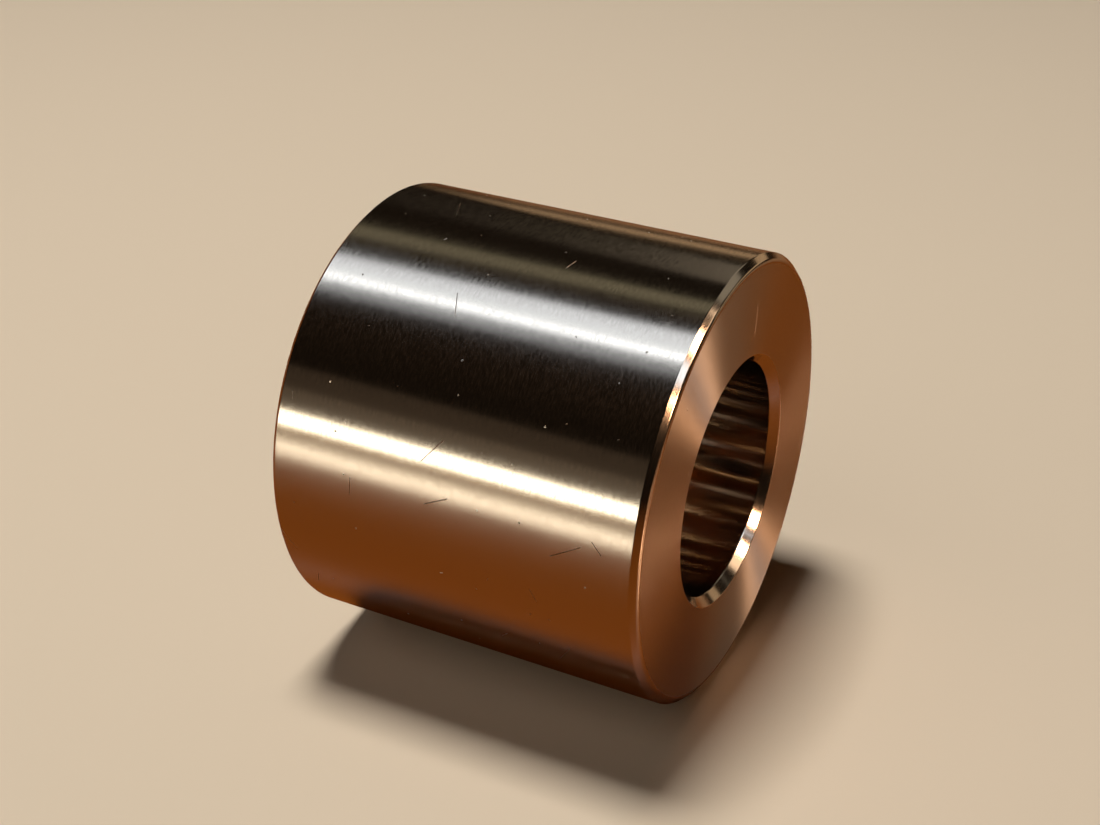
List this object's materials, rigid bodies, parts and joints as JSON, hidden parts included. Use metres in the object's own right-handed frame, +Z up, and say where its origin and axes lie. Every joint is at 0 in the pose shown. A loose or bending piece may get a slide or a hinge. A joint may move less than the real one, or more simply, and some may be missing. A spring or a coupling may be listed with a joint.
{
  "type": "shaft collar",
  "caption": "Thick plain cylindrical shaft collar with a chamfered through bore and a radial socket set screw that locks it on the shaft.",
  "frame": {"origin": "on the bore axis at the collar's mid-length", "axes": "+X along the bore, +Z up as the ring lies on its side, +Y towards the set screw"},
  "size_m": [0.0262, 0.0305, 0.0304],
  "materials": {
    "turned_steel": "bright fine turned, edges broken",
    "black_screw_steel": "black oxide, lightly oiled"
  },
  "bodies": {
    "collar": {"collar_body": "turned_steel"},
    "screw": {"set_screw": "black_screw_steel"}
  },
  "joints": [
    {"name": "set_screw_travel", "type": "slide", "parent": "collar", "child": "screw", "axis": [0, -1, 0], "range_m": [-0.003, 0.001]}
  ]
}
